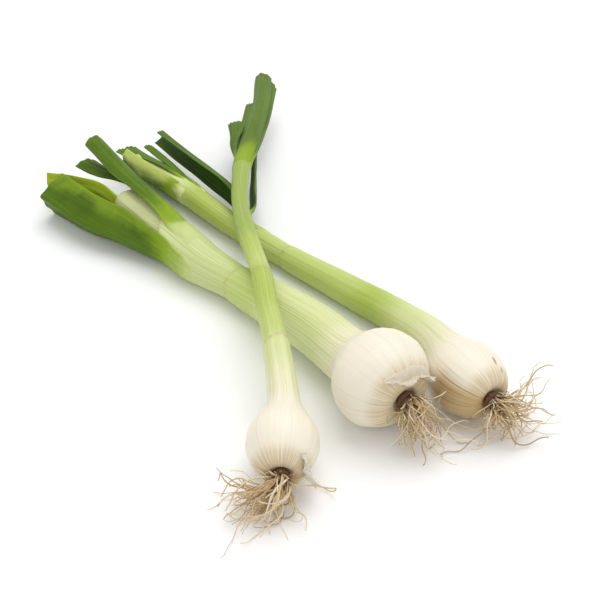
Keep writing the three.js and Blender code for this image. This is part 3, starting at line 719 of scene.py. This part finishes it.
# %% The middle onion's leaves
MIDDLE_LEAVES = {
    "middle_leaf_side": (side_green, dict(
        start=182.4, clasp=12, foot_radius=7.4, hold=75, spread=74, fold=0.35, radius=8.8, back=(5, 16),
        path=[(-42, 75.5, 12.5), (-58, 96.5, 13), (-77, 121, 12.5), (-94, 144, 12)], slant=7)),
    "middle_leaf_front": (front_green, dict(
        start=247, clasp=34, foot_radius=7.5, hold=86, spread=88, fold=0, radius=6.6, back=(196, 192),
        path=[(-97, 116.5, 11.2), (-105, 125, 11.5)], slant=1)),
    "middle_leaf_short": (middle_green, dict(
        start=240, clasp=14, foot_radius=7.6, hold=30, spread=34, fold=0, radius=7, back=(40, 66),
        path=[(-84, 111.5, 10), (-97, 130, 9.5)], slant=1)),
    "middle_leaf_top": (middle_green, dict(
        start=251.4, clasp=26, foot_radius=7.4, hold=24, spread=56, fold=0, radius=6.4, back=(64, 70),
        path=[(-97, 118, 9.5), (-107.5, 131, 8.5)])),
    "middle_leaf_under": (middle_green, dict(
        start=251.4, clasp=26, foot_radius=7.4, hold=26, spread=56, fold=0, radius=6, back=(-10, 60),
        path=[(-100, 117, 9), (-113, 129, 8)])),
}
for seed, (node, (finish, form)) in enumerate(MIDDLE_LEAVES.items(), start=60):
    dress(leaf("middle", node, seed=seed, **form), finish, "leaf", node)

# %% The crossing onion's leaves
CROSSING_LEAVES = {
    "crossing_leaf_main": dict(
        start=242.2, clasp=6, foot_radius=5.3, hold=80, spread=92, fold=0.2, radius=5.6, back=(95, 104),
        path=[(-29, 133, 25), (-25, 168, 24), (-24.5, 200, 23)]),
    "crossing_leaf_right": dict(
        start=242.2, clasp=5, foot_radius=5.3, hold=34, spread=60, fold=0.2, radius=4.8, back=(-20, 6),
        path=[(-27.5, 137, 20.5), (-23.5, 167, 19.5), (-21.2, 196, 19)], slant=-2),
    "crossing_leaf_left": dict(
        start=238, clasp=10, foot_radius=5.5, hold=24, spread=40, fold=0, radius=6, back=(190, 120),
        path=[(-31.5, 136, 20.5), (-29.5, 167, 19.5)], slant=-2),
    "crossing_leaf_drooping": dict(
        start=187.6, clasp=5, foot_radius=5.6, hold=34, spread=60, fold=0.2, radius=4.2,
        back=(-34, -20), path=[(-30.5, 64, 19), (-30.8, 92, 14), (-31.5, 126, 12)]),
    "crossing_leaf_short": dict(
        start=236, clasp=12, foot_radius=5.5, hold=26, spread=28, fold=0, radius=10, back=(200, 112),
        path=[(-33.5, 122, 20), (-37, 139, 19)], slant=-2),
}
for seed, (node, form) in enumerate(CROSSING_LEAVES.items(), start=70):
    dress(leaf("crossing", node, seed=seed, **form), crossing_green, "leaf", node)

# %% [markdown]
# ## Papery skin
# The outermost skin of a bulb dries to paper and tears loose at the root plate first. A
# cloth simulation could crumple it, but such skin is stiff and keeps the bulb's curve, so a
# grid is laid round the bulb, and its free edge is lifted, torn and wrinkled.

# %% Lay a torn skin round a bulb
def torn_skin(plant, name, profile, turn, distances, lift, seed, crumple):
    """Paper between two angles in degrees. The first distance, in mm, is where it is held."""
    bpy.ops.object.select_all(action="DESELECT")
    bpy.ops.mesh.primitive_grid_add(x_subdivisions=90, y_subdivisions=24, size=2)
    piece = bpy.context.object
    piece.name = piece.data.name = name
    flat = points_of(piece)
    across, share = flat[:, 0], (flat[:, 1] + 1) / 2
    tear = 0.85 + 0.5 * noise_at(np.column_stack([across * 2.2, across * 0, across * 0]), seed)
    tear = tear + 0.2 * noise_at(np.column_stack([across * 9, across * 0, across * 0]), seed + 1)
    tear = np.clip(tear, 0.25, 1.15) * (1 - 0.6 * across**6)
    distance = distances[0] + (distances[1] - distances[0]) * share * tear
    angle = np.radians((turn[0] + turn[1]) / 2 + (turn[1] - turn[0]) / 2 * across)
    wrinkles = noise_at(np.column_stack([across * 6, share * 1.6, share * 0]), seed + 2)
    folds = noise_at(np.column_stack([across * 15, share * 5, share * 0]), seed + 3)
    loose = ease(share, 0.1, 1)
    out = smooth_through(profile)(np.maximum(distance, 1)) - 0.5 + 0.9 * ease(share, 0, 0.4)
    out = out + blend(lift[0], lift[1], (across + 1) / 2) * loose**1.5
    out = out + crumple * (1.1 * wrinkles + 0.45 * folds) * loose
    straight = np.column_stack([out * np.cos(angle), out * np.sin(angle), distance]) * MM
    remember(piece, "grain", np.column_stack([across, share, share * 0]))
    move_points(piece, LINES[plant].bend(straight))
    finish_modifier(piece, "SOLIDIFY", thickness=0.14 * MM, offset=0)
    smooth_skin(piece)
    points = points_of(piece)
    points[:, 2] = np.maximum(points[:, 2], LOWEST)
    move_points(piece, points)
    print(name, "has", len(piece.data.polygons), "faces")
    return piece


DRY_WHITE = (0.84, 0.77, 0.66)


def paper_finish(name, colour, shadow, clear):
    """Dry onion paper with fine veins, between which it is as opaque as clear says."""
    finish = Finish(name)
    grain = finish.attribute("grain")
    veins = finish.noise(finish.stretched(grain, (16, 1.4, 1)), detail=4, roughness=0.7)
    blotches = finish.noise(finish.stretched(grain, (2.4, 2, 1)), detail=3)
    tint = finish.mix(finish.between(veins, 0.45, 0.66, 0, 0.7), colour, shadow)
    tint = finish.mix(finish.between(blotches, 0.5, 0.7, 0, 0.6), tint, DRY_WHITE)
    held = finish.between(finish.parts(grain)[1], 0.4, 0, 0, 0.9)
    tint = finish.mix(held, tint, WHITE)
    finish.shade(Base_Color=tint, Roughness=0.5, Alpha=finish.between(veins, 0.3, 0.65, clear, 1))
    finish.shade(Normal=finish.bump(veins, 0.8, 0.25 * MM))
    return finish.material


paper = paper_finish("torn onion paper", (0.75, 0.67, 0.53), (0.49, 0.38, 0.25), clear=0.75)
piece = torn_skin(
    "large", "large_torn_skin", LARGE_BULB, turn=(-6, 126), distances=(6, -2.6), lift=(5.5, 1),
    seed=31, crumple=1.2,
)
dress(piece, paper, "skin", "large_loose_skin")
pale_paper = paper_finish("pale onion paper", (0.90, 0.88, 0.80), (0.76, 0.70, 0.58), clear=0.3)
piece = torn_skin(
    "crossing", "crossing_torn_skin", CROSSING_BULB, turn=(-28, 50), distances=(7, -5), lift=(7.5, 6.5),
    seed=37, crumple=0.4,
)
dress(piece, pale_paper, "skin")

# %% [markdown]
# ## Roots
# Each plant ends in a small woody plate with several dozen wiry roots. They have dried in
# the air, so they kink and tangle. Hair particles could do this, but they don't export.
# One straight root is modelled, and every root of a tuft is a copy of it, bent along its own
# wandering line. Most stay in a tangle by the plate, and a few reach far out.

# %% Model one straight root and bend copies of it
def straight_root(rings=31, sides=6):
    """A tapering root, one unit long and one unit thick at the plate."""
    places = np.linspace(0, 1, rings)
    root = grow("straight_root", [(place / MM, (1 - 0.55 * place) / MM) for place in places], sides)
    points = points_of(root)
    faces = [tuple(face.vertices) for face in root.data.polygons]
    bpy.data.objects.remove(root)
    return points, faces


ROOT_POINTS, ROOT_FACES = straight_root()
ROOT_STEPS = 16
BULB_BALLS = []  # the middle of each bulb, and how far roots keep from it
for plant, far, clear in ("large", 19, 22), ("middle", 21, 19), ("crossing", 18, 16.5):
    BULB_BALLS.append((LINES[plant].at(np.array([far * MM]))[0][0], clear * MM))


def wander(start, heading, end, length, draw):
    """Points of a root that makes for its end, strays from the way, and keeps off the bulbs."""
    points = [start]
    stray = np.zeros(3)
    for k in range(ROOT_STEPS):
        towards = end - points[-1]
        towards = towards / (np.linalg.norm(towards) + 2 * MM)
        stray = 0.6 * stray + 0.3 * np.array([draw.uniform(-1, 1) for _ in range(3)])
        heading = heading + 0.32 * towards + stray
        heading = heading / np.linalg.norm(heading)
        place = points[-1] + heading * length / ROOT_STEPS
        for middle, clear in BULB_BALLS:
            away = place - middle
            if np.linalg.norm(away) < clear:
                place = middle + away / np.linalg.norm(away) * clear
        lowest, highest = (0.4 + draw.random() * 1.2) * MM, start[2] + 3 * MM
        place[2] = min(max(place[2], lowest), highest)
        points.append(place)
    return np.array(points)


GOLDEN_ANGLE = 2.39996  # spreads roots evenly over the plate, as seeds in a sunflower


def tuft(plant, plate_radius, ends, long_ends, count, seed):
    """All the roots of one plant in one mesh, making for ends that are given in millimetres."""
    draw = random.Random(seed)
    middle, along, side, lift = (row[0] for row in LINES[plant].at(np.array([0.0])))
    points, faces, reach, shade = [], [], [], []
    for k in range(count + len(long_ends)):
        angle, ring = k * GOLDEN_ANGLE, math.sqrt((k % count + 0.5) / count)
        radial = side * math.cos(angle) + lift * math.sin(angle)
        start = middle + radial * plate_radius * 0.8 * ring * MM - along * 0.6 * MM
        end = ends[k % len(ends)] if k < count else long_ends[k - count]
        near = [draw.uniform(-5, 5), draw.uniform(-5, 5), draw.uniform(-2, 2)]
        end = (np.array(end) + CENTRING + near) * MM
        length = np.linalg.norm(end - start) * (draw.uniform(0.55, 1.15) if k < count else 1.08)
        if k % 5 in (1, 3) and k < count:  # a short root, which only bristles from the plate
            end = start + (1.6 * radial * ring - along) * 12 * MM
            length = draw.uniform(4, 10) * MM
        root = Line(wander(start, radial * ring * 0.8 - along, end, length, draw))
        thickness = draw.uniform(0.24, 0.56) * MM
        straight = ROOT_POINTS * (thickness, thickness, root.length)
        first = len(points) * len(ROOT_POINTS)
        faces += [tuple(first + corner for corner in face) for face in ROOT_FACES]
        points.append(root.bend(straight))
        reach.append(straight[:, 2])
        shade.append(np.full(len(ROOT_POINTS), draw.random()))
    mesh = bpy.data.meshes.new(f"{plant}_root_tuft")
    mesh.from_pydata(np.concatenate(points), [], faces)
    piece = bpy.data.objects.new(mesh.name, mesh)
    bpy.context.scene.collection.objects.link(piece)
    mesh.shade_smooth()
    reach, shade = np.concatenate(reach), np.concatenate(shade)
    remember(piece, "grain", np.column_stack([reach, shade, reach * 0]))
    print(piece.name, "has", len(points), "roots and", len(faces), "faces")
    return piece


# %% The colour of dry roots
OLD_ROOT, DRY_ROOT, YOUNG_ROOT = (0.46, 0.31, 0.14), (0.66, 0.50, 0.28), (0.82, 0.70, 0.50)
PLATE_BROWN, SPECKLE_BROWN = (0.14, 0.07, 0.03), (0.25, 0.14, 0.06)


def root_finish():
    """Each root has its own tan, is dark at the plate, and is speckled with dry earth."""
    finish = Finish("dry root")
    reach, shade, _ = finish.parts(finish.attribute("grain"))
    own = finish.ramp(shade, (0, OLD_ROOT), (0.5, DRY_ROOT), (1, YOUNG_ROOT))
    speckle = finish.add("ShaderNodeTexCoord").outputs["Object"]
    speckle = finish.noise(speckle, scale=900, detail=3)
    colour = finish.mix(finish.between(reach, 0.5 * MM, 8 * MM), PLATE_BROWN, own)
    colour = finish.mix(finish.between(speckle, 0.55, 0.75, 0, 0.5), colour, SPECKLE_BROWN)
    finish.shade(Base_Color=colour, Roughness=0.8)
    finish.shade(Normal=finish.bump(speckle, 0.5, 0.2 * MM))
    return finish.material


dry_root = root_finish()

# %% A tuft of roots for each plant
TUFTS = {
    "large": dict(
        plate_radius=5.2, seed=11, count=140,
        ends=[
            (60, -113, 1), (52, -109, 1), (57, -106, 1), (44, -105, 3), (66, -106, 2), (70, -113, 1),
            (48, -113, 1), (62, -101, 8), (55, -115, 1),
        ],
        long_ends=[
            (94, -101, 1), (90, -104, 1), (80, -110, 1), (82, -104, 4), (86, -108, 1), (72, -118, 1),
        ],
    ),
    "middle": dict(
        plate_radius=4.4, seed=29, count=130,
        ends=[
            (125, -71, 14), (125, -79, 10), (118, -76, 13), (126, -87, 2), (109, -97, 2), (97, -105, 1),
            (87, -110, 1), (86, -101, 1), (117, -85, 8), (121, -74, 15), (104, -103, 1),
        ],
        long_ends=[
            (127, -71, 13), (126, -73, 10), (128, -88, 2), (74, -113, 1), (64, -114, 1), (82, -116, 1),
        ],
    ),
    "crossing": dict(
        plate_radius=4, seed=47, count=110,
        ends=[
            (-46, -141, 3), (-43, -163, 1), (-37, -136, 8), (-27, -149, 1), (-33, -155, 1),
            (-30, -166, 1), (-18, -164, 1), (-40, -150, 2), (-14, -154, 1), (-36, -146, 4),
        ],
        long_ends=[(-50, -141, 3), (-46, -169, 1), (-48, -151, 1), (-16, -170, 1), (-26, -168, 1)],
    ),
}
for plant, form in TUFTS.items():
    dress(tuft(plant, **form), dry_root, "root", f"{plant}_roots")

# %% [markdown]
# ## The root plates
# A plant's roots and skins all grow from one flat button of tough tissue. The roots hide most
# of it, so a low form grown from a circle, as the bulbs are, and made rough with noise is enough.

# %% The button that the roots grow from
def root_plate(plant, radius, seed):
    """A rough low button, a little wider than the ring of roots on it."""
    rings = [(3.2, 0.3), (3, 0.9), (0.8, 1), (0, 0.92), (-0.7, 0.7), (-1.1, 0.35), (-1.2, 0.1)]
    plate = grow(f"{plant}_root_plate", [(place, radius * share) for place, share in rings], 40)
    smooth_skin(plate, 2)
    points = points_of(plate)
    rough = 1 + 0.16 * noise_at(points / MM * 0.5, seed) + 0.1 * noise_at(points / MM * 1.6, seed + 1)
    points[:, :2] *= rough[:, None]
    points[:, 2] *= rough
    remember(plate, "grain", np.column_stack([points[:, 2] * 0, rough * 0.5, points[:, 2]]))
    move_points(plate, LINES[plant].bend(points))
    return plate


for seed, (plant, form) in enumerate(TUFTS.items(), start=90):
    dress(root_plate(plant, form["plate_radius"], seed), dry_root, "root")

# %% [markdown]
# ## The table, the light and the camera
# The bunch lies on a seamless white table under a wide soft light, as in a catalogue
# picture. The floor is brighter than the skin, so the shadows stay light and soft.

# %% The white table
bpy.ops.object.select_all(action="DESELECT")
bpy.ops.mesh.primitive_plane_add(size=60, location=(0, 0, 0))
table = bpy.context.object
table.name = "white_table"
white = Finish("white table")
grain = white.noise(white.add("ShaderNodeTexCoord").outputs["Object"], scale=4, detail=2)
white.shade(Base_Color=white.mix(grain, (0.93, 0.93, 0.93), (0.95, 0.95, 0.95)), Roughness=0.8)
white.shade(Specular_IOR_Level=0.1)
table.data.materials.append(white.material)

# %% Soft light
world = bpy.data.worlds.new("white studio")
bpy.context.scene.world = world
world.use_nodes = True
world.node_tree.nodes["Background"].inputs["Color"].default_value = (1, 1, 1, 1)
world.node_tree.nodes["Background"].inputs["Strength"].default_value = 0.72


def soft_sun(name, power, width, direction):
    """Even light from a wide patch of sky, which lies in the given direction."""
    bpy.ops.object.light_add(type="SUN", location=(0, 0, 1))
    light = bpy.context.object
    light.name = name
    light.data.energy = power
    light.data.angle = math.radians(width)
    light.rotation_euler = Vector(direction).to_track_quat("Z", "Y").to_euler()


soft_sun("key light", 1.45, 60, (0.2, 0.36, 1))
soft_sun("fill light", 0.25, 90, (-0.8, -0.9, 0.9))

# %% The camera
target = Vector((CENTRING[0], CENTRING[1], 0)) * MM
distance, elevation = 0.64, math.radians(40)
backwards = Vector((0, -math.cos(elevation), math.sin(elevation)))
bpy.ops.object.camera_add(location=target + backwards * distance)
camera = bpy.context.object
camera.name = "catalogue camera"
camera.data.lens, camera.data.sensor_width = 70, 36
camera.rotation_euler = (camera.location - target).to_track_quat("Z", "Y").to_euler()
bpy.context.scene.camera = camera
bpy.context.scene.view_settings.view_transform = "Standard"
